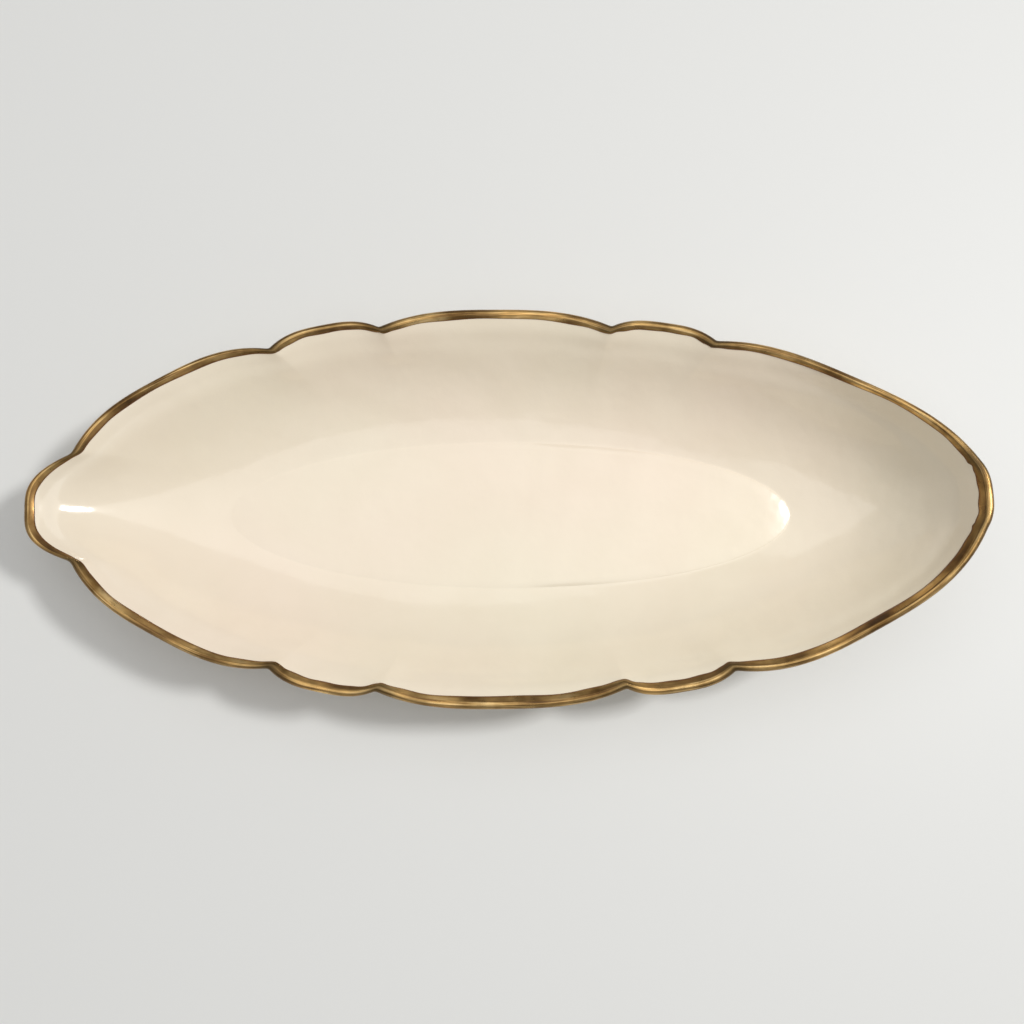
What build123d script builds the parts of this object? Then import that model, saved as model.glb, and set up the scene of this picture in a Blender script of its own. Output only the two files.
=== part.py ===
from build123d import *
from math import acos, cos, hypot, pi, radians, sin
import os

# Boat-shaped china serving dish with a scalloped, gilded rim.
#
# The dish is a long oval. Its wall rises from an elliptical well as an ogee: a soft bend at the well, a
# flank that steepens, and a lip that turns outwards. Twelve cusps part the rim into lobes, and each cusp
# sinks into the wall as a pleat that dies out on the way down. The left end is a low, round lip that
# lies open; the right end stands high and upright.
#
# Every coat of the ware follows one rule, the middle surface of the wall, at its own distance from it:
# the fired clay in the middle, glaze on both sides of it, and a gilt line round the lip. The clay stands
# on a foot ring. Lengths are millimetres, angles are degrees. +X is the long way, towards the high end,
# +Z is up, and the origin is under the middle of the dish, on the surface that it stands on.

# rim outline, the middle line of the lip
half_length = 157.5
half_width = 66.0

# cusps once round from the right end, as shares of the half length and width, each with the bulge of
# the lobe that follows it
cusps_and_bulges = [
    ((0.98, 0.18), 8.5),
    ((0.46, 0.83), 4.0),
    ((0.235, 0.905), 6.0),
    ((-0.26, 0.89), 4.5),
    ((-0.49, 0.775), 8.5),
    ((-0.895, 0.255), 16.0),
    ((-0.885, -0.28), 8.0),
    ((-0.475, -0.795), 4.0),
    ((-0.26, -0.905), 6.0),
    ((0.25, -0.9), 4.0),
    ((0.475, -0.82), 11.0),
    ((0.985, -0.15), 2.5),
]
lobe_fullness = 3           # 2 is close to an arc, more is fuller beside the cusps

# smooth oval under the lobes
oval_width_share = 0.955
left_sharpness = 0.52       # how much slimmer than an ellipse the left end is
sharpness_power = 4

# heights above the table
foot_height = 2.6
side_height = 33.0
left_height = 25.0
right_height = 50.0
left_drop_power = 5
right_rise_power = 3

# the well, a flat ellipse
well_half_length = 98.5
well_half_width = 25.8
well_shift = 5.5

# the wall's ogee profile, in shares of its run from the well to the lip
flank_start = 0.38          # steepness of the flank just past the well
well_bend = 0.02            # length of the soft bend at the well
lip_share = 0.12            # length of the turned-out lip
lip_bend = 0.04             # length of the bend into the lip
side_turn = 1.3             # how far the lip turns out
left_turn = 1.5
right_turn = 0.0
left_turn_power = 8
right_turn_power = 3
pleat_power = 6             # how soon the lobes die out down the wall

# wall and coats
rim_thickness = 2.8
floor_thickness = 4.0
glaze_thickness = 0.35
gilt_thickness = 0.15
gilt_inner_reach = 1.2      # how far the gilding runs down from the round lip, inside and outside
gilt_outer_reach = 2.0
gilt_clearance = 0.1        # between the gilding and the glaze under it

# foot ring
foot_inset = 8.0            # from the well's edge to the ring's outer edge
foot_width = 4.5
foot_round = 0.8

# how finely the surfaces follow the rule
lobe_points = 7
level_count = 30
level_crowding = 0.75       # above 0 the levels crowd towards the well and the lip
lip_turns = [22, 45, 68, 90]


def crowded(t):
    """A share from 0 to 1 that moves slowly at both ends."""
    return t - level_crowding * sin(2 * pi * t) / (2 * pi)


wall_levels = [crowded(k / level_count) for k in range(level_count + 1)]

cusps = [Vector(half_length * x, half_width * y) for (x, y), _ in cusps_and_bulges]
bulges = [bulge for _, bulge in cusps_and_bulges]
lobe_count = len(cusps)


def rim_point(lobe, u):
    """Point at a share u along a lobe, which leaves its cusps steeply and runs flatter between them."""
    start, end = cusps[lobe], cusps[(lobe + 1) % lobe_count]
    chord = end - start
    outward = Vector(chord.Y, -chord.X).normalized()
    return start + chord * u + outward * bulges[lobe] * (1 - abs(2 * u - 1) ** lobe_fullness)


def oval_angle(cusp):
    """Angle, in radians, at which the smooth oval passes a cusp."""
    angle = acos(cusp.X / half_length)
    return angle if cusp.Y > 0 else 2 * pi - angle


cusp_angles = [oval_angle(p) for p in cusps]
cusp_angles.append(cusp_angles[0] + 2 * pi)


def end_share(angle, side, left, right, left_power, right_power):
    """A size that is `side` along the flanks and eases to `left` and `right` at the two tips."""
    c = cos(angle)
    at_left = max(-c, 0) ** left_power
    at_right = max(c, 0) ** right_power
    return side + (left - side) * at_left + (right - side) * at_right


def oval_point(angle):
    """The smooth oval under the lobes."""
    fullness = 1 - left_sharpness * max(-cos(angle), 0) ** sharpness_power
    return Vector(half_length * cos(angle), half_width * oval_width_share * fullness * sin(angle))


def well_point(angle):
    return Vector(well_shift + well_half_length * cos(angle), well_half_width * sin(angle))


def soft_step(x):
    """Grows from 0 to x past x = 0, over the lip's bend, and its slope."""
    reach = hypot(x, lip_bend)
    return (x + reach) / 2, (1 + x / reach) / 2


def ogee(share, turn):
    """Height share and slope of the profile at a share of its run."""
    base, base_slope = soft_step(lip_share - 1)

    def raw(f):
        flank = flank_start * (hypot(f, well_bend) - well_bend) + (1 - flank_start) * f**3
        return flank - turn * (soft_step(f - 1 + lip_share)[0] - base)

    slope = flank_start * share / hypot(share, well_bend) + 3 * (1 - flank_start) * share**2
    slope -= turn * (soft_step(share - 1 + lip_share)[1] - base_slope)
    return raw(share) / raw(1), slope / raw(1)


def wall_frame(lobe, u, share):
    """Point of the wall's middle surface, its upward normal and the direction towards the rim."""
    angle = cusp_angles[lobe] + (cusp_angles[lobe + 1] - cusp_angles[lobe]) * u
    well, oval = well_point(angle), oval_point(angle)
    run = oval - well
    plan = well + run * share + (rim_point(lobe, u) - oval) * share**pleat_power
    turn = end_share(angle, side_turn, left_turn, right_turn, left_turn_power, right_turn_power)
    rim_height = end_share(
        angle, side_height, left_height, right_height, left_drop_power, right_rise_power
    )
    low = foot_height + floor_thickness / 2
    rise = rim_height - rim_thickness / 2 - low
    height, slope = ogee(share, turn)
    ahead = (run + Vector(0, 0, rise * slope)).normalized()
    level = run.normalized()
    up = Vector(-level.X * ahead.Z, -level.Y * ahead.Z, hypot(ahead.X, ahead.Y))
    return Vector(plan.X, plan.Y, low + rise * height), up, ahead


def wall_point(lobe, u, share, side, inset):
    """Point of a coat's skin: side 1 is inside the dish, -1 outside, inset is from the ware's skin."""
    middle, up, _ = wall_frame(lobe, u, share)
    half = (floor_thickness + (rim_thickness - floor_thickness) * share) / 2
    return middle + up * side * (half - inset)


def lip_point(lobe, u, turn, side, inset):
    """Point of a coat's skin on the round lip, from 0 on that side of the dish to 90 on the edge."""
    middle, up, ahead = wall_frame(lobe, u, 1)
    around = up * side * cos(radians(turn)) + ahead * sin(radians(turn))
    return middle + around * (rim_thickness / 2 - inset)


def reach_share(lobe, u, reach):
    """Share of the run that lies that far below the lip."""
    angle = cusp_angles[lobe] + (cusp_angles[lobe + 1] - cusp_angles[lobe]) * u
    return 1 - reach / (oval_point(angle) - well_point(angle)).length


def ring_wire(place):
    """Closed wire of one curve a lobe, where place(lobe, u) is its point."""
    steps = [k / (lobe_points - 1) for k in range(lobe_points)]
    curves = [
        Edge.make_spline([place(lobe, u) for u in steps], parameters=steps)
        for lobe in range(lobe_count)
    ]
    return Wire(curves)


def side_wires(side, inset):
    """Wires of one side's skin, from the well's edge up to the edge of the lip."""
    wall = [ring_wire(lambda n, u: wall_point(n, u, f, side, inset)) for f in wall_levels]
    lip = [ring_wire(lambda n, u: lip_point(n, u, t, side, inset)) for t in lip_turns]
    return wall + lip


def band_wires(inset):
    """Wires of the gilding's skin, over the lip from its inner line to its outer line."""
    inner = [gilt_inner_reach * k / 3 for k in (3, 2, 1, 0)]
    outer = [gilt_outer_reach * k / 4 for k in range(5)]
    inside = [
        ring_wire(lambda n, u: wall_point(n, u, reach_share(n, u, r), 1, inset)) for r in inner
    ]
    over = [ring_wire(lambda n, u: lip_point(n, u, t, 1, inset)) for t in lip_turns]
    under = [ring_wire(lambda n, u: lip_point(n, u, t, -1, inset)) for t in lip_turns[-2::-1]]
    outside = [
        ring_wire(lambda n, u: wall_point(n, u, reach_share(n, u, r), -1, inset)) for r in outer
    ]
    return inside + over + under + outside


def closed_solid(pieces):
    """Solid bounded by shells and faces that meet at their edges."""
    faces = [face for piece in pieces for face in piece.faces()]
    return Solid(Shell(Face.sew_faces(faces)[0]))


def coat(skin, clay):
    """Coat of glaze between two skins, closed by a narrow face at the lip and by its two floors."""
    return closed_solid(
        [
            Shell.make_loft(skin),
            Shell.make_loft(clay),
            Shell.make_loft([skin[-1], clay[-1]], ruled=True),
            Face(skin[0]),
            Face(clay[0]),
        ]
    )


inner_skin, inner_clay = side_wires(1, 0), side_wires(1, glaze_thickness)
outer_skin, outer_clay = side_wires(-1, 0), side_wires(-1, glaze_thickness)
foot_outline = (well_half_length - foot_inset, well_half_width - foot_inset)
foot_inside = (foot_outline[0] - foot_width, foot_outline[1] - foot_width)

os.makedirs("parts", exist_ok=True)

# fired clay: floor, wall and lip in one
with BuildPart() as china_body:
    add(
        closed_solid(
            [
                Shell.make_loft(inner_clay),
                Shell.make_loft(outer_clay),
                Face(inner_clay[0]),
                Face(outer_clay[0]),
            ]
        )
    )
china_body.part.label = "china_body"
export_step(china_body.part, "parts/china_body.step")

# oval ring that the dish stands on
with BuildPart() as foot_ring:
    with BuildSketch(Plane.XY):
        with Locations((well_shift, 0)):
            Ellipse(*foot_outline)
            Ellipse(*foot_inside, mode=Mode.SUBTRACT)
    extrude(amount=foot_height + glaze_thickness)
    fillet(foot_ring.edges().group_by(Axis.Z)[0], foot_round)
foot_ring.part.label = "foot_ring"
export_step(foot_ring.part, "parts/foot_ring.step")

# glaze over the well and the inside of the wall, up to the edge of the lip
with BuildPart() as glaze_inside:
    add(coat(inner_skin, inner_clay))
glaze_inside.part.label = "glaze_inside"
export_step(glaze_inside.part, "parts/glaze_inside.step")

# glaze over the outside of the wall, down to the foot ring
with BuildPart() as glaze_outside:
    add(coat(outer_skin, outer_clay))
    with BuildSketch(Plane.XY.offset(foot_height)):
        with Locations((well_shift, 0)):
            Ellipse(*foot_outline)
    extrude(amount=glaze_thickness, mode=Mode.SUBTRACT)
glaze_outside.part.label = "glaze_outside"
export_step(glaze_outside.part, "parts/glaze_outside.step")

# glaze over the underside, within the foot ring
with BuildPart() as glaze_base:
    with BuildSketch(Plane.XY.offset(foot_height)):
        with Locations((well_shift, 0)):
            Ellipse(*foot_inside)
    extrude(amount=glaze_thickness)
glaze_base.part.label = "glaze_base"
export_step(glaze_base.part, "parts/glaze_base.step")

# gilding over the lip
gilt_seat = band_wires(-gilt_clearance)
gilt_skin = band_wires(-gilt_clearance - gilt_thickness)
with BuildPart() as gilt_rim:
    add(
        closed_solid(
            [
                Shell.make_loft(gilt_skin),
                Shell.make_loft(gilt_seat),
                Shell.make_loft([gilt_skin[0], gilt_seat[0]], ruled=True),
                Shell.make_loft([gilt_skin[-1], gilt_seat[-1]], ruled=True),
            ]
        )
    )
gilt_rim.part.label = "gilt_rim"
export_step(gilt_rim.part, "parts/gilt_rim.step")
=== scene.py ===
import math

import bpy
from mathutils import Matrix, Vector


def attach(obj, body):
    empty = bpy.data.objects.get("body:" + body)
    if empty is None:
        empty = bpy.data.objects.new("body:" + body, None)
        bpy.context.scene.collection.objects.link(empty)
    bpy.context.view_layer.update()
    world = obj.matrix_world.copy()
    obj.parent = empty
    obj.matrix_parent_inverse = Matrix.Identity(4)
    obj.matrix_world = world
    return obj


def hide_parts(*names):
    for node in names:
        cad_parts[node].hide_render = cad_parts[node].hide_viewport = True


# A boat-shaped china serving dish, ivory glazed, with a brushed gold line round its scalloped rim.
# Lengths here are metres; the sizes named below are millimetres and go through MM.

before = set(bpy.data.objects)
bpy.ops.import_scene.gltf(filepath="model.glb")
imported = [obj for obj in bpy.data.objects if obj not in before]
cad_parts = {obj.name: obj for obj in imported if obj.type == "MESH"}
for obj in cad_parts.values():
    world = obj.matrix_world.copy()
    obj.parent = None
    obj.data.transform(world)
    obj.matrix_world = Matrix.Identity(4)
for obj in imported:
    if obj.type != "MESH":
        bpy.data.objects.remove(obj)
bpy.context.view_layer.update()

MM = 0.001


# ---------------------------------------------------------------- camera

CAMERA_PLACE = Vector((-20.4, -56.6, 391.2)) * MM
CAMERA_AIM = Vector((2.7, -3.0, 33.0)) * MM
CAMERA_ROLL = -0.008
CAMERA_VIEW_ANGLE = 50


def set_camera():
    data = bpy.data.cameras.new("camera")
    data.angle = math.radians(CAMERA_VIEW_ANGLE)
    data.clip_start = 0.01
    camera = bpy.data.objects.new("camera", data)
    forward = (CAMERA_AIM - CAMERA_PLACE).normalized()
    right = forward.cross(Vector((0, 1, 0))).normalized()
    above = right.cross(forward)
    turned = Matrix((right, above, -forward)).transposed().to_4x4()
    camera.matrix_world = Matrix.Translation(CAMERA_PLACE) @ turned @ Matrix.Rotation(CAMERA_ROLL, 4, "Z")
    bpy.context.scene.collection.objects.link(camera)
    bpy.context.scene.camera = camera


set_camera()
bpy.context.scene.view_settings.view_transform = "Standard"


# ---------------------------------------------------------------- the dish's sizes, as in the CAD model

HALF_LENGTH, HALF_WIDTH = 157.5, 66.0
CUSPS_AND_BULGES = [
    ((0.98, 0.18), 8.5),
    ((0.46, 0.83), 4.0),
    ((0.235, 0.905), 6.0),
    ((-0.26, 0.89), 4.5),
    ((-0.49, 0.775), 8.5),
    ((-0.895, 0.255), 16.0),
    ((-0.885, -0.28), 8.0),
    ((-0.475, -0.795), 4.0),
    ((-0.26, -0.905), 6.0),
    ((0.25, -0.9), 4.0),
    ((0.475, -0.82), 11.0),
    ((0.985, -0.15), 2.5),
]
LOBE_FULLNESS = 3
OVAL_WIDTH_SHARE = 0.955
LEFT_SHARPNESS, SHARPNESS_POWER = 0.52, 4

FOOT_HEIGHT = 2.6
SIDE_HEIGHT, LEFT_HEIGHT, RIGHT_HEIGHT = 33.0, 25.0, 50.0
LEFT_DROP_POWER, RIGHT_RISE_POWER = 5, 3

WELL_HALF_LENGTH, WELL_HALF_WIDTH, WELL_SHIFT = 98.5, 25.8, 5.5

FLANK_START, WELL_BEND = 0.38, 0.02
LIP_SHARE, LIP_BEND = 0.12, 0.04
SIDE_TURN, LEFT_TURN, RIGHT_TURN = 1.3, 1.5, 0.0
LEFT_TURN_POWER, RIGHT_TURN_POWER = 8, 3
PLEAT_POWER = 6

RIM_THICKNESS, FLOOR_THICKNESS = 2.8, 4.0
GLAZE_THICKNESS = 0.35
GILT_THICKNESS = 0.15
GILT_INNER_REACH, GILT_OUTER_REACH = 1.2, 2.0
GILT_CLEARANCE = 0.1
FOOT_INSET = 8.0

# how finely the dish is made: columns in a lobe and rows along the wall
LOBE_COLUMNS = 56
COLUMN_CROWDING = 0.11
WALL_CROWDING = 0.75
LOBE_COUNT = len(CUSPS_AND_BULGES)
COLUMNS = LOBE_COLUMNS * LOBE_COUNT

# how many columns each side of a cusp are eased, and how often, at the lip and down the wall
LIP_SOFTENING = (3, 6)
WALL_SOFTENING = (16, 60)

# how far along the rim painted shade darkens the gilding at a cusp, and shares of its inner reach
CUSP_SHADE_REACH = 5.0
GILT_EVERYWHERE, GILT_AT_LOW_END, GILT_ON_NEAR_SIDE, GILT_AT_HIGH_END = 0.6, 0.7, 0.3, 0.5

# specks in the glaze: cells to a metre, radius in metres and the share of cells that hold one
PINHOLE_CELLS = 45
PINHOLE_RADIUS = 0.0004
PINHOLE_SHARE = 0.10

TABLE_HALF = 1.6


# ---------------------------------------------------------------- guide lines

def lobe_angle(cusp):
    angle = math.acos(cusp.x / HALF_LENGTH)
    return angle if cusp.y > 0 else 2 * math.pi - angle


def ease_to_tips(angle, side, left, right, left_power, right_power):
    c = math.cos(angle)
    return side + (left - side) * max(-c, 0) ** left_power + (right - side) * max(c, 0) ** right_power


def lobe_point(start, end, bulge, u):
    """Point at a share u along a lobe, which leaves its cusps steeply and runs flatter between them."""
    chord = end - start
    outward = Vector((chord.y, -chord.x)).normalized()
    return start + chord * u + outward * bulge * (1 - abs(2 * u - 1) ** LOBE_FULLNESS)


def guide_lines():
    """The well's edge, the smooth oval, the rim and the rim with soft cusps, a point for each column."""
    cusps = [Vector((HALF_LENGTH * x, HALF_WIDTH * y)) for (x, y), _ in CUSPS_AND_BULGES]
    angles = [lobe_angle(p) for p in cusps]
    well, oval, rim = [], [], []
    for lobe in range(LOBE_COUNT):
        after = (lobe + 1) % LOBE_COUNT
        start, end = angles[lobe], angles[after] + (2 * math.pi if after == 0 else 0)
        for k in range(LOBE_COLUMNS):
            step = k / LOBE_COLUMNS
            u = step - COLUMN_CROWDING * math.sin(2 * math.pi * step)
            angle = start + (end - start) * u
            fullness = 1 - LEFT_SHARPNESS * max(-math.cos(angle), 0) ** SHARPNESS_POWER
            height = ease_to_tips(
                angle, SIDE_HEIGHT, LEFT_HEIGHT, RIGHT_HEIGHT, LEFT_DROP_POWER, RIGHT_RISE_POWER
            )
            on_rim = lobe_point(cusps[lobe], cusps[after], CUSPS_AND_BULGES[lobe][1], u)
            well.append(
                (WELL_SHIFT + WELL_HALF_LENGTH * math.cos(angle), WELL_HALF_WIDTH * math.sin(angle), 0)
            )
            oval.append(
                (
                    HALF_LENGTH * math.cos(angle),
                    HALF_WIDTH * OVAL_WIDTH_SHARE * fullness * math.sin(angle),
                    0,
                )
            )
            rim.append((on_rim.x, on_rim.y, height - RIM_THICKNESS / 2))
    return well, oval, soften_cusps(rim, *LIP_SOFTENING), soften_cusps(rim, *WALL_SOFTENING)


def soften_cusps(rim, reach, rounds):
    """Rounds each cusp by easing the points within reach of it towards their neighbours' middle."""
    count = len(rim)
    points = [Vector(p) for p in rim]
    for _ in range(rounds):
        eased = list(points)
        for cusp in range(0, count, LOBE_COLUMNS):
            for k in range(-reach, reach + 1):
                n = (cusp + k) % count
                middle = (points[n - 1] + points[(n + 1) % count]) / 2
                eased[n] = points[n].lerp(middle, 0.5)
        points = eased
    return [tuple(p) for p in points]


def cusp_nearness(rim):
    """For every column, 1 at a cusp and falling to 0 a few millimetres along the rim, where it sets the
    painted shade on the gilding.
    """
    points = [Vector(p[:2]) for p in rim]
    cusps = points[::LOBE_COLUMNS]
    return [math.exp(-((min((p - c).length for c in cusps) / CUSP_SHADE_REACH) ** 2)) for p in points]


def guide_object(name, points):
    """A closed line in millimetres, which the dish's rule reads and which is not kept."""
    mesh = bpy.data.meshes.new(name)
    edges = [(n, (n + 1) % len(points)) for n in range(len(points))]
    mesh.from_pydata(points, edges, [])
    obj = bpy.data.objects.new(name, mesh)
    bpy.context.scene.collection.objects.link(obj)
    return obj


# ---------------------------------------------------------------- node trees written as formulas

class Value:
    """A number or vector in a node tree, which ordinary arithmetic builds nodes from."""

    def __init__(self, tree, socket):
        self.tree, self.socket = tree, socket

    def _math(self, operation, *others):
        node = self.tree.nodes.new("ShaderNodeMath")
        node.operation = operation
        for socket, value in zip(node.inputs, (self,) + others):
            connect(self.tree, value, socket)
        return Value(self.tree, node.outputs[0])

    def __add__(self, other):
        return self._math("ADD", other)

    def __sub__(self, other):
        return self._math("SUBTRACT", other)

    def __mul__(self, other):
        return self._math("MULTIPLY", other)

    def __truediv__(self, other):
        return self._math("DIVIDE", other)

    def __pow__(self, other):
        return self._math("POWER", other)

    def __neg__(self):
        return self * -1.0

    def at_least(self, other):
        return self._math("MAXIMUM", other)

    def at_most(self, other):
        return self._math("MINIMUM", other)

    def root(self):
        return self._math("SQRT")

    def sine(self):
        return self._math("SINE")

    def cosine(self):
        return self._math("COSINE")

    def clamped(self):
        return self.at_least(0.0).at_most(1.0)

    def exponential(self):
        return self._math("EXPONENT")


def connect(tree, value, socket):
    if isinstance(value, Value):
        tree.links.new(value.socket, socket)
    else:
        socket.default_value = value


def vector_math(tree, operation, *values):
    node = tree.nodes.new("ShaderNodeVectorMath")
    node.operation = operation
    for socket, value in zip(node.inputs, values):
        connect(tree, value, socket)
    return Value(tree, node.outputs[0])


def scaled(tree, vector, factor):
    node = tree.nodes.new("ShaderNodeVectorMath")
    node.operation = "SCALE"
    connect(tree, vector, node.inputs[0])
    connect(tree, factor, node.inputs["Scale"])
    return Value(tree, node.outputs[0])


def vector_length(tree, vector):
    node = tree.nodes.new("ShaderNodeVectorMath")
    node.operation = "LENGTH"
    connect(tree, vector, node.inputs[0])
    return Value(tree, node.outputs["Value"])


def parts_of(tree, vector):
    node = tree.nodes.new("ShaderNodeSeparateXYZ")
    connect(tree, vector, node.inputs[0])
    return [Value(tree, s) for s in node.outputs]


def joined(tree, x, y, z):
    node = tree.nodes.new("ShaderNodeCombineXYZ")
    for socket, value in zip(node.inputs, (x, y, z)):
        connect(tree, value, socket)
    return Value(tree, node.outputs[0])


def attribute(tree, name, kind="FLOAT"):
    node = tree.nodes.new("GeometryNodeInputNamedAttribute")
    node.data_type = kind
    node.inputs["Name"].default_value = name
    return Value(tree, node.outputs["Attribute"])


# ---------------------------------------------------------------- the rule of the ware

SIZE_INPUTS = {
    "Foot height": FOOT_HEIGHT,
    "Floor thickness": FLOOR_THICKNESS,
    "Rim thickness": RIM_THICKNESS,
    "Flank start": FLANK_START,
    "Well bend": WELL_BEND,
    "Lip share": LIP_SHARE,
    "Lip bend": LIP_BEND,
    "Side turn": SIDE_TURN,
    "Left turn": LEFT_TURN,
    "Right turn": RIGHT_TURN,
    "Cusp depth": 14.0,
    "Unevenness": 0.10,
    "Crease height": 0.28,
    "Crease width": 0.9,
    "Groove depth": 0.45,
    "Groove width": 2.0,
    "Groove place": 5.2,
}
GUIDES = ("Well line", "Oval line", "Rim line", "Soft rim line")


def ware_tree():
    """Node tree that bends a lattice into a coat of the dish.

    Every point of the lattice has a column round the dish, a place along the section and a depth under
    the ware's skin. The place runs 0 to 1 over the floor from its middle, 1 to 2 up the inside wall, 2 to
    3 over the lip, 3 to 4 down the outside wall and 4 to 5 under the floor back to its middle.
    """
    tree = bpy.data.node_groups.new("ware_rule", "GeometryNodeTree")
    face = tree.interface
    face.new_socket("Geometry", in_out="INPUT", socket_type="NodeSocketGeometry")
    for name in GUIDES:
        face.new_socket(name, in_out="INPUT", socket_type="NodeSocketObject")
    for name in SIZE_INPUTS:
        face.new_socket(name, in_out="INPUT", socket_type="NodeSocketFloat")
    face.new_socket("Finish", in_out="INPUT", socket_type="NodeSocketMaterial")
    face.new_socket("Geometry", in_out="OUTPUT", socket_type="NodeSocketGeometry")
    given = tree.nodes.new("NodeGroupInput")
    size = {name: Value(tree, given.outputs[name]) for name in SIZE_INPUTS}

    column = attribute(tree, "column", "INT")
    place = attribute(tree, "place")
    depth = attribute(tree, "depth")

    def on_guide(name):
        read = tree.nodes.new("GeometryNodeObjectInfo")
        tree.links.new(given.outputs[name], read.inputs["Object"])
        pick = tree.nodes.new("GeometryNodeSampleIndex")
        pick.data_type = "FLOAT_VECTOR"
        where = tree.nodes.new("GeometryNodeInputPosition")
        tree.links.new(read.outputs["Geometry"], pick.inputs["Geometry"])
        tree.links.new(where.outputs[0], pick.inputs["Value"])
        connect(tree, column, pick.inputs["Index"])
        return Value(tree, pick.outputs["Value"])

    well, oval, rim, soft_rim = (on_guide(name) for name in GUIDES)
    oval_x, oval_y, _ = parts_of(tree, oval)
    rim_x, rim_y, rim_z = parts_of(tree, rim)

    share = (place - 1.0).clamped().at_most((-place + 4.0).clamped())
    spread = place.clamped().at_most((-place + 5.0).clamped())
    round_lip = (place - 2.0).clamped() * math.pi

    # plan: from the well's edge to the oval, with the lobes growing in towards the rim
    run = vector_math(tree, "SUBTRACT", oval, well)
    level = vector_math(tree, "NORMALIZE", run)
    soft_x, soft_y, _ = parts_of(tree, soft_rim)
    crisp = share ** size["Cusp depth"]
    lobes_x = soft_x + (rim_x - soft_x) * crisp - oval_x
    lobes_y = soft_y + (rim_y - soft_y) * crisp - oval_y
    lobes = joined(tree, lobes_x, lobes_y, 0.0)
    middle = joined(tree, WELL_SHIFT, 0.0, 0.0)
    on_floor = vector_math(
        tree, "ADD", middle, scaled(tree, vector_math(tree, "SUBTRACT", well, middle), spread)
    )
    plan = vector_math(tree, "ADD", on_floor, scaled(tree, run, share))
    plan = vector_math(tree, "ADD", plan, scaled(tree, lobes, share ** float(PLEAT_POWER)))

    # ogee height and slope, as shares of the rise
    along = oval_x / HALF_LENGTH
    at_left = (-along).at_least(0.0) ** float(LEFT_TURN_POWER)
    at_right = along.at_least(0.0) ** float(RIGHT_TURN_POWER)
    turn = size["Side turn"] + (size["Left turn"] - size["Side turn"]) * at_left
    turn = turn + (size["Right turn"] - size["Side turn"]) * at_right

    def bell(x):
        return (-(x * x)).exponential()

    def soft_step(x):
        reach = (x * x + size["Lip bend"] * size["Lip bend"]).root()
        return (x + reach) * 0.5, (x / reach + 1.0) * 0.5

    base, base_slope = soft_step(size["Lip share"] - 1.0)

    def raw(f):
        bend = (f * f + size["Well bend"] * size["Well bend"]).root() - size["Well bend"]
        flank = size["Flank start"] * bend + (-size["Flank start"] + 1.0) * f * f * f
        return flank - turn * (soft_step(f - 1.0 + size["Lip share"])[0] - base)

    one = share * 0.0 + 1.0
    whole = raw(one)
    height = raw(share) / whole
    reach = (share * share + size["Well bend"] * size["Well bend"]).root()
    slope = size["Flank start"] * share / reach
    slope = slope + (-size["Flank start"] + 1.0) * share * share * 3.0
    slope = (slope - turn * (soft_step(share - 1.0 + size["Lip share"])[1] - base_slope)) / whole

    low = size["Foot height"] + size["Floor thickness"] * 0.5
    rise = rim_z - low
    ahead = vector_math(
        tree, "NORMALIZE", vector_math(tree, "ADD", run, joined(tree, 0.0, 0.0, rise * slope))
    )
    ahead_x, ahead_y, ahead_z = parts_of(tree, ahead)
    level_x, level_y, _ = parts_of(tree, level)
    flat = (ahead_x * ahead_x + ahead_y * ahead_y).root()
    upward = joined(tree, -level_x * ahead_z, -level_y * ahead_z, flat)

    # out from the middle surface to the coat's own depth
    half = (size["Floor thickness"] + (size["Rim thickness"] - size["Floor thickness"]) * share) * 0.5
    out = vector_math(
        tree,
        "ADD",
        scaled(tree, upward, round_lip.cosine()),
        scaled(tree, ahead, round_lip.sine()),
    )
    plan_x, plan_y, _ = parts_of(tree, plan)
    spine = joined(tree, plan_x, plan_y, low + rise * height)
    skin = vector_math(tree, "ADD", spine, scaled(tree, out, half - depth))

    # hand-made unevenness, the same for every coat at one spot
    noise = tree.nodes.new("ShaderNodeTexNoise")
    noise.inputs["Scale"].default_value = 0.035
    noise.inputs["Detail"].default_value = 1.5
    connect(tree, spine, noise.inputs["Vector"])
    wave = (Value(tree, noise.outputs[0]) - 0.5) * size["Unevenness"] * 2.0
    fade = (share * 12.0).clamped()

    # a low crease round the well, and a shallow groove under the lip that follows the lobes
    run_length = vector_length(tree, run)
    across_floor = vector_length(tree, vector_math(tree, "SUBTRACT", well, middle))
    from_well = share * run_length + (-spread + 1.0) * across_floor
    from_groove = (-share + 1.0) * run_length - size["Groove place"]
    towards_high_end = oval_x * (0.4 / HALF_LENGTH) + 0.6
    crease = size["Crease height"] * towards_high_end * bell(from_well / size["Crease width"])
    groove = size["Groove depth"] * bell(from_groove / size["Groove width"])
    skin = vector_math(tree, "ADD", skin, scaled(tree, upward, wave * fade + crease - groove))

    keep = tree.nodes.new("GeometryNodeSetPosition")
    finish = tree.nodes.new("GeometryNodeSetMaterial")
    realize = tree.nodes.new("GeometryNodeRealizeInstances")
    result = tree.nodes.new("NodeGroupOutput")
    tree.links.new(given.outputs["Geometry"], keep.inputs["Geometry"])
    connect(tree, scaled(tree, skin, MM), keep.inputs["Position"])
    tree.links.new(keep.outputs[0], realize.inputs[0])
    tree.links.new(realize.outputs[0], finish.inputs["Geometry"])
    tree.links.new(given.outputs["Finish"], finish.inputs["Material"])
    tree.links.new(finish.outputs[0], result.inputs[0])
    return tree


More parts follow.
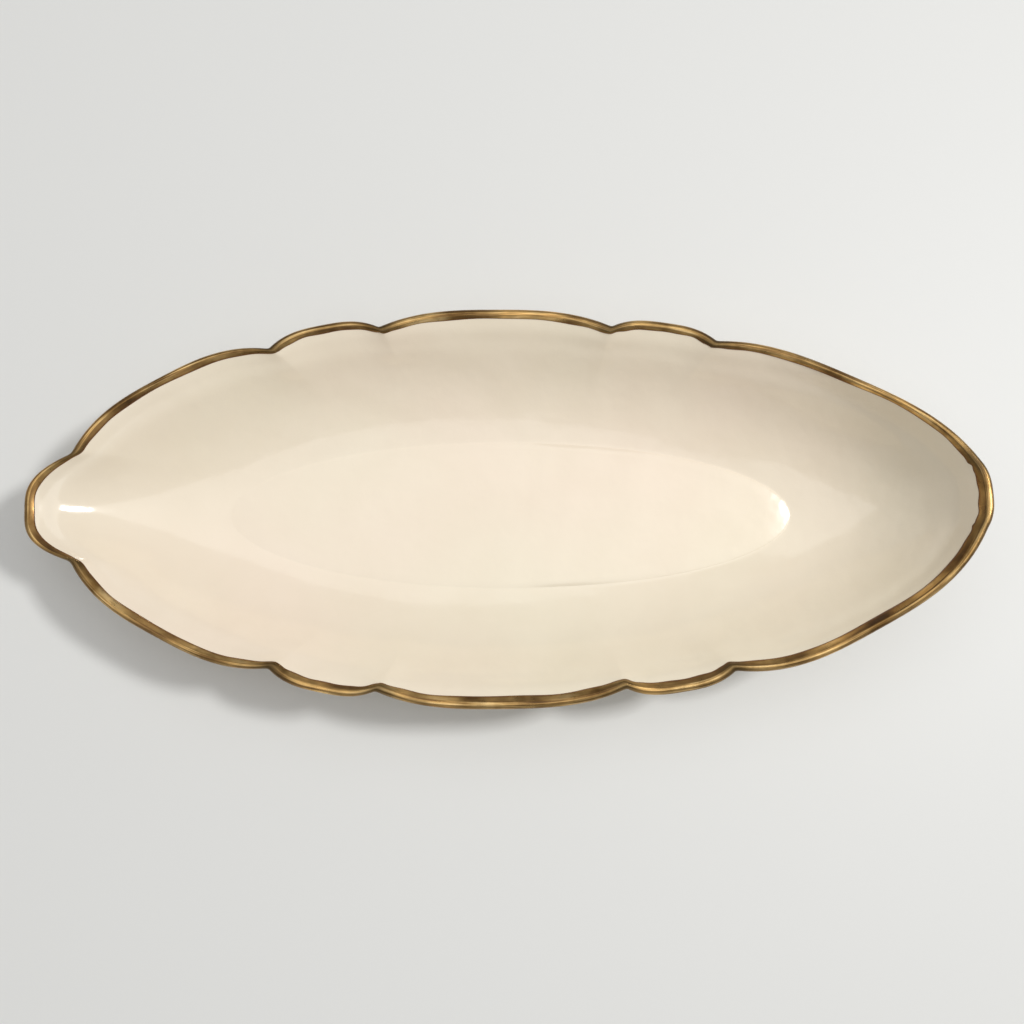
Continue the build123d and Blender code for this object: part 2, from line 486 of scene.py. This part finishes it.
WARE_RULE = ware_tree()
WELL_LINE, OVAL_LINE, RIM_LINE, SOFT_RIM_LINE = guide_lines()
RUNS = [(Vector(o[:2]) - Vector(w[:2])).length for o, w in zip(OVAL_LINE, WELL_LINE)]
# painted shade: how strongly the gilding is darkened near each cusp
CUSP_SHADE = cusp_nearness(RIM_LINE)
GUIDE_OBJECTS = {
    name: guide_object(name.lower().replace(" ", "_"), points)
    for name, points in zip(GUIDES, (WELL_LINE, OVAL_LINE, RIM_LINE, SOFT_RIM_LINE))
}


# ---------------------------------------------------------------- lattices

def spaced(start, end, count, crowding=1.0):
    """Places from start towards end, without end, which crowd towards end where crowding is above 1."""
    return [start + (end - start) * (1 - (1 - k / count) ** crowding) for k in range(count)]


def lattice(name, rows, closed):
    """Mesh of rows of columns round the dish, each row a (place, depth).

    A place is a number, or a list with a number for each column. A closed lattice joins its last row to
    its first. An open one ends in a pole at each end, so its first and last rows are single points.
    """
    mesh = bpy.data.meshes.new(name)
    places, depths, columns, cusp_shades, faces, starts = [], [], [], [], [], []
    for number, (place, depth) in enumerate(rows):
        pole = not closed and number in (0, len(rows) - 1)
        starts.append(len(places))
        for column in range(1 if pole else COLUMNS):
            places.append(place[column] if isinstance(place, list) else place)
            depths.append(depth)
            columns.append(column)
            cusp_shades.append(CUSP_SHADE[column])
    row_pairs = list(zip(range(len(rows)), range(1, len(rows))))
    if closed:
        row_pairs.append((len(rows) - 1, 0))
    for here, there in row_pairs:
        for c in range(COLUMNS):
            d = (c + 1) % COLUMNS
            a, b = starts[here], starts[there]
            if not closed and here == 0:
                faces.append((a, b + c, b + d))
            elif not closed and there == len(rows) - 1:
                faces.append((a + d, a + c, b))
            else:
                faces.append((a + d, a + c, b + c, b + d))
    mesh.from_pydata([(0, 0, 0)] * len(places), [], faces)
    for label, values, kind in (
        ("place", places, "FLOAT"),
        ("depth", depths, "FLOAT"),
        ("column", columns, "INT"),
        ("cusp_shade", cusp_shades, "FLOAT"),
    ):
        mesh.attributes.new(label, kind, "POINT").data.foreach_set("value", values)
    mesh.update()
    return mesh


def ware_piece(name, rows, closed, finish):
    """Bends a lattice into a coat and returns it as a plain mesh object."""
    source = bpy.data.objects.new(name + "_lattice", lattice(name + "_lattice", rows, closed))
    bpy.context.scene.collection.objects.link(source)
    modifier = source.modifiers.new("rule", "NODES")
    modifier.node_group = WARE_RULE
    sockets = {s.name: s.identifier for s in WARE_RULE.interface.items_tree if s.in_out == "INPUT"}
    for label, value in SIZE_INPUTS.items():
        modifier[sockets[label]] = value
    for label, guide in GUIDE_OBJECTS.items():
        modifier[sockets[label]] = guide
    modifier[sockets["Finish"]] = finish
    bpy.context.view_layer.update()
    evaluated = source.evaluated_get(bpy.context.evaluated_depsgraph_get())
    mesh = bpy.data.meshes.new_from_object(evaluated)
    mesh.name = name
    piece = bpy.data.objects.new(name, mesh)
    bpy.context.scene.collection.objects.link(piece)
    bpy.data.objects.remove(source)
    for polygon in mesh.polygons:
        polygon.use_smooth = True
    return piece


def keep(piece, slot, node):
    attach(piece, "root")
    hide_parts(node)


# ---------------------------------------------------------------- finishes

def new_finish(name):
    material = bpy.data.materials.new(name)
    material.use_nodes = True
    tree = material.node_tree
    return material, tree, tree.nodes["Principled BSDF"]


def noise(tree, scale, detail=2.0, roughness=0.5, stretch=(1, 1, 1)):
    place = tree.nodes.new("ShaderNodeTexCoord")
    fit = tree.nodes.new("ShaderNodeMapping")
    fit.inputs["Scale"].default_value = stretch
    texture = tree.nodes.new("ShaderNodeTexNoise")
    texture.inputs["Scale"].default_value = scale
    texture.inputs["Detail"].default_value = detail
    texture.inputs["Roughness"].default_value = roughness
    tree.links.new(place.outputs["Object"], fit.inputs[0])
    tree.links.new(fit.outputs[0], texture.inputs["Vector"])
    return texture.outputs[0]


def ramp(tree, source, *stops):
    node = tree.nodes.new("ShaderNodeValToRGB")
    bar = node.color_ramp
    while len(bar.elements) < len(stops):
        bar.elements.new(0.5)
    for element, (position, colour) in zip(bar.elements, stops):
        element.position = position
        element.color = (*colour, 1) if len(colour) == 3 else colour
    tree.links.new(source, node.inputs[0])
    return node.outputs[0]


def mix_colour(tree, factor, low, high, blend="MIX"):
    node = tree.nodes.new("ShaderNodeMix")
    node.data_type = "RGBA"
    node.blend_type = blend
    for socket, value in ((node.inputs[0], factor), (node.inputs[6], low), (node.inputs[7], high)):
        if isinstance(value, bpy.types.NodeSocket):
            tree.links.new(value, socket)
        else:
            socket.default_value = value if isinstance(value, float) else (*value, 1)
    return node.outputs[2]


def bump(tree, height, distance, strength=1.0, below=None):
    node = tree.nodes.new("ShaderNodeBump")
    node.inputs["Strength"].default_value = strength
    node.inputs["Distance"].default_value = distance
    tree.links.new(height, node.inputs["Height"])
    if below:
        tree.links.new(below, node.inputs["Normal"])
    return node.outputs[0]


def piece_value(tree, name):
    node = tree.nodes.new("ShaderNodeAttribute")
    node.attribute_name = name
    return node.outputs["Fac"]


def plain_math(tree, operation, *values):
    node = tree.nodes.new("ShaderNodeMath")
    node.operation = operation
    for socket, value in zip(node.inputs, values):
        if isinstance(value, bpy.types.NodeSocket):
            tree.links.new(value, socket)
        else:
            socket.default_value = value
    return node.outputs[0]


def ivory_glaze():
    material, tree, shader = new_finish("ivory_glaze")
    cream, blush, straw = (0.85, 0.75, 0.60), (0.86, 0.74, 0.60), (0.84, 0.76, 0.60)
    tone = ramp(tree, noise(tree, 9, 2), (0.35, blush), (0.5, cream), (0.68, straw))
    cloud = ramp(tree, noise(tree, 60, 3), (0.3, (0.975, 0.97, 0.96)), (0.7, (1, 1, 1)))
    colour = with_pinholes(tree, mix_colour(tree, 1.0, tone, cloud, "MULTIPLY"))
    tree.links.new(colour, shader.inputs["Base Color"])
    shader.inputs["Roughness"].default_value = 0.16
    shader.inputs["IOR"].default_value = 1.52
    shader.inputs["Coat Weight"].default_value = 0.6
    shader.inputs["Coat Roughness"].default_value = 0.04
    ripple = bump(tree, noise(tree, 70, 2), 0.0004)
    peel = bump(tree, noise(tree, 420, 2), 0.00003, 1.0, ripple)
    tree.links.new(peel, shader.inputs["Normal"])
    return material


def with_pinholes(tree, colour):
    """The colour with a few iron specks in it, each a fraction of a millimetre across."""
    place = tree.nodes.new("ShaderNodeTexCoord")
    cells = tree.nodes.new("ShaderNodeTexVoronoi")
    cells.inputs["Scale"].default_value = PINHOLE_CELLS
    tree.links.new(place.outputs["Object"], cells.inputs["Vector"])
    near = plain_math(tree, "LESS_THAN", cells.outputs["Distance"], PINHOLE_RADIUS * PINHOLE_CELLS)
    chosen = tree.nodes.new("ShaderNodeSeparateColor")
    tree.links.new(cells.outputs["Color"], chosen.inputs[0])
    few = plain_math(tree, "LESS_THAN", chosen.outputs[0], PINHOLE_SHARE)
    speck = plain_math(tree, "MULTIPLY", near, few)
    return mix_colour(tree, speck, colour, (0.10, 0.08, 0.06))


def fired_clay():
    material, tree, shader = new_finish("fired_clay")
    tone = ramp(tree, noise(tree, 220, 4), (0.35, (0.62, 0.55, 0.45)), (0.65, (0.76, 0.70, 0.60)))
    tree.links.new(tone, shader.inputs["Base Color"])
    shader.inputs["Roughness"].default_value = 0.85
    tree.links.new(bump(tree, noise(tree, 1400, 3), 0.00008), shader.inputs["Normal"])
    return material


def brush_streaks(tree, across, along, detail=3.0):
    """Noise that changes quickly across the gilt line and slowly along it."""
    place = tree.nodes.new("ShaderNodeTexCoord")
    fit = tree.nodes.new("ShaderNodeMapping")
    fit.inputs["Scale"].default_value = (along, along, along)
    tree.links.new(place.outputs["Object"], fit.inputs[0])
    lift = tree.nodes.new("ShaderNodeCombineXYZ")
    tree.links.new(plain_math(tree, "MULTIPLY", piece_value(tree, "place"), across), lift.inputs[2])
    total = tree.nodes.new("ShaderNodeVectorMath")
    tree.links.new(fit.outputs[0], total.inputs[0])
    tree.links.new(lift.outputs[0], total.inputs[1])
    texture = tree.nodes.new("ShaderNodeTexNoise")
    texture.inputs["Scale"].default_value = 1.0
    texture.inputs["Detail"].default_value = detail
    tree.links.new(total.outputs[0], texture.inputs["Vector"])
    return texture.outputs[0]


def worn_gilt():
    """Brushed gold over glaze: streaky, thin and brown in places, with painted shade darkest at the
    cusps.
    """
    material, tree, shader = new_finish("worn_gilt")
    streaks = brush_streaks(tree, 9.0, 60.0)
    gold = ramp(
        tree,
        streaks,
        (0.30, (0.15, 0.080, 0.027)),
        (0.44, (0.35, 0.210, 0.078)),
        (0.56, (0.58, 0.38, 0.150)),
        (0.72, (0.88, 0.65, 0.33)),
    )
    patches = ramp(
        tree,
        noise(tree, 70, 4),
        (0.36, (0.42, 0.36, 0.28)),
        (0.52, (0.9, 0.88, 0.84)),
        (0.66, (1.3, 1.25, 1.15)),
    )
    gold = mix_colour(tree, 1.0, gold, patches, "MULTIPLY")
    # painted shade: the gold darkens towards each cusp, where the rim folds in
    painted_cusp_shade = plain_math(tree, "MULTIPLY", piece_value(tree, "cusp_shade"), 0.75)
    gold = mix_colour(tree, painted_cusp_shade, gold, (0.10, 0.065, 0.026))
    height = plain_math(tree, "MULTIPLY", piece_value(tree, "depth"), -4.0)
    thin = ramp(tree, height, (0.5, (1, 1, 1)), (0.9, (0, 0, 0)))
    gold = mix_colour(tree, thin, gold, (0.20, 0.085, 0.035))
    tree.links.new(gold, shader.inputs["Base Color"])
    metal = ramp(tree, streaks, (0.2, (0.55, 0.55, 0.55)), (0.5, (0.92, 0.92, 0.92)))
    tree.links.new(metal, shader.inputs["Metallic"])
    rough = ramp(tree, noise(tree, 260, 3), (0.3, (0.24, 0.24, 0.24)), (0.7, (0.48, 0.48, 0.48)))
    tree.links.new(rough, shader.inputs["Roughness"])
    brushed_height = bump(tree, brush_streaks(tree, 30.0, 90.0), 0.00006)
    tree.links.new(bump(tree, noise(tree, 700, 3), 0.00004, 1.0, brushed_height), shader.inputs["Normal"])
    return material


IVORY = ivory_glaze()
CLAY = fired_clay()
GILT = worn_gilt()


# ---------------------------------------------------------------- the dish's pieces

def near_side(y):
    """1 on the near side, falling to 0 on the far side."""
    return 0.5 - 0.5 * max(-1.0, min(1.0, 3 * y / HALF_WIDTH))


def high_side(x, y):
    """1 along the near side of the high end, falling to 0 at the low end and on the far side."""
    return near_side(y) * max(0.0, x / HALF_LENGTH) ** 0.7


def wall_places(start, end, count):
    """Places from start to end, without end, that crowd towards both, as the well and the lip need."""
    steps = [k / count for k in range(count)]
    crowded = [t - WALL_CROWDING * math.sin(2 * math.pi * t) / (2 * math.pi) for t in steps]
    return [start + (end - start) * t for t in crowded]


def make_glaze_inside():
    skin = [0.0] + spaced(0.08, 1, 10) + wall_places(1, 2, 60) + spaced(2, 2.5, 6) + [2.5]
    clay = [2.5] + wall_places(2, 1, 22) + [1.0, 0.5, 0.0]
    rows = [(p, 0.0) for p in skin] + [(p, GLAZE_THICKNESS) for p in clay]
    return ware_piece("glaze_inside", rows, False, IVORY)


def foot_edge():
    """For every column, the place under the floor at which it meets the foot ring's outer edge."""
    length, width = WELL_HALF_LENGTH - FOOT_INSET, WELL_HALF_WIDTH - FOOT_INSET
    return [5 - 1 / math.hypot((x - WELL_SHIFT) / length, y / width) for x, y, _ in WELL_LINE]


def between(start, end, share):
    return [p + (q - p) * share for p, q in zip(start, end)]


def make_glaze_outside():
    well_edge, ring = [4.0] * COLUMNS, foot_edge()
    skin = spaced(2.5, 3, 6) + wall_places(3, 4, 50)
    skin += [between(well_edge, ring, k / 4) for k in range(5)]
    clay = [ring, well_edge] + wall_places(4, 3, 18)[1:] + [3.0, 2.75, 2.5]
    rows = [(p, 0.0) for p in skin] + [(p, GLAZE_THICKNESS) for p in clay]
    return ware_piece("glaze_outside", rows, True, IVORY)


def make_body():
    inside = [0.0] + spaced(0.2, 1, 4) + spaced(1, 2, 36, 1.4) + spaced(2, 3, 8)
    outside = spaced(3, 4, 24) + [4.0, 4.4, 5.0]
    rows = [(p, GLAZE_THICKNESS) for p in inside + outside]
    return ware_piece("china_body", rows, False, CLAY)


def brushed(reach, sway, *waves):
    """A reach for every column that wanders by the sway, as a hand-held brush does."""
    line = []
    for column in range(COLUMNS):
        way = 2 * math.pi * column / COLUMNS
        wander = sum(math.sin(count * way + start) for count, start in waves) / len(waves)
        line.append(reach[column] + sway * wander)
    return line


def make_gilt():
    """Gilding over the lip, wider round the low end and along the near side."""
    inner, outer = [], []
    for column in range(COLUMNS):
        x, y, _ = RIM_LINE[column]
        share = GILT_EVERYWHERE + GILT_AT_LOW_END * max(0.0, -x / HALF_LENGTH) ** 2
        share += GILT_ON_NEAR_SIDE * near_side(y) + GILT_AT_HIGH_END * high_side(x, y)
        inner.append(GILT_INNER_REACH * share)
        outer.append(GILT_OUTER_REACH)
    inner = brushed(inner, 0.28, (23, 0.4), (41, 1.9), (67, 3.1), (9, 5.0))
    outer = brushed(outer, 0.30, (19, 2.2), (37, 0.7), (59, 4.4))
    inner_edge = [2 - max(r, 0.15) / run for r, run in zip(inner, RUNS)]
    outer_edge = [3 + r / run for r, run in zip(outer, RUNS)]

    top, bottom = [2.0] * COLUMNS, [3.0] * COLUMNS
    places = [between(inner_edge, top, k / 4) for k in range(4)]
    places += [between(top, bottom, k / 16) for k in range(16)]
    places += [between(bottom, outer_edge, k / 4) for k in range(5)]
    feather = [0.02, 0.09, 0.13] + [GILT_THICKNESS] * (len(places) - 6) + [0.13, 0.09, 0.02]
    skin = [(p, -GILT_CLEARANCE - thick) for p, thick in zip(places, feather)]
    seat = [(p, -GILT_CLEARANCE) for p in reversed(places[::2])]
    return ware_piece("gilt_rim", skin + seat, True, GILT)


keep(make_glaze_inside(), "ivory_glaze", "glaze_inside")
keep(make_glaze_outside(), "ivory_glaze", "glaze_outside")
keep(make_body(), "fired_clay", "china_body")
keep(make_gilt(), "worn_gilt", "gilt_rim")
for node, finish in (("foot_ring", CLAY), ("glaze_base", IVORY)):
    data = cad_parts[node].data
    data.materials.clear()
    data.materials.append(finish)
for guide in GUIDE_OBJECTS.values():
    bpy.data.objects.remove(guide)


# ---------------------------------------------------------------- table and light

def make_table():
    mesh = bpy.data.meshes.new("table")
    r = TABLE_HALF
    mesh.from_pydata([(-r, -r, 0), (r, -r, 0), (r, r, 0), (-r, r, 0)], [], [(0, 1, 2, 3)])
    table = bpy.data.objects.new("table", mesh)
    bpy.context.scene.collection.objects.link(table)
    material, tree, shader = new_finish("pale_table")
    shader.inputs["Base Color"].default_value = (0.72, 0.72, 0.70, 1)
    shader.inputs["Roughness"].default_value = 0.55
    mesh.materials.append(material)


def soft_light(name, place, size, power, colour=(1, 1, 1)):
    data = bpy.data.lights.new(name, "AREA")
    data.shape = "RECTANGLE"
    data.size, data.size_y = size
    data.energy = power
    data.color = colour
    light = bpy.data.objects.new(name, data)
    light.location = place
    light.rotation_euler = (Vector((0, 0, 0.02)) - Vector(place)).to_track_quat("-Z", "Y").to_euler()
    bpy.context.scene.collection.objects.link(light)


make_table()
soft_light("key", (0.95, 0.25, 1.35), (0.26, 0.20), 14.5)
soft_light("sky", (-0.2, 0.2, 1.8), (2.4, 2.4), 16)
world = bpy.data.worlds.new("studio")
world.use_nodes = True
world.node_tree.nodes["Background"].inputs[0].default_value = (1.0, 1.0, 1.0, 1)
world.node_tree.nodes["Background"].inputs[1].default_value = 0.30
bpy.context.scene.world = world
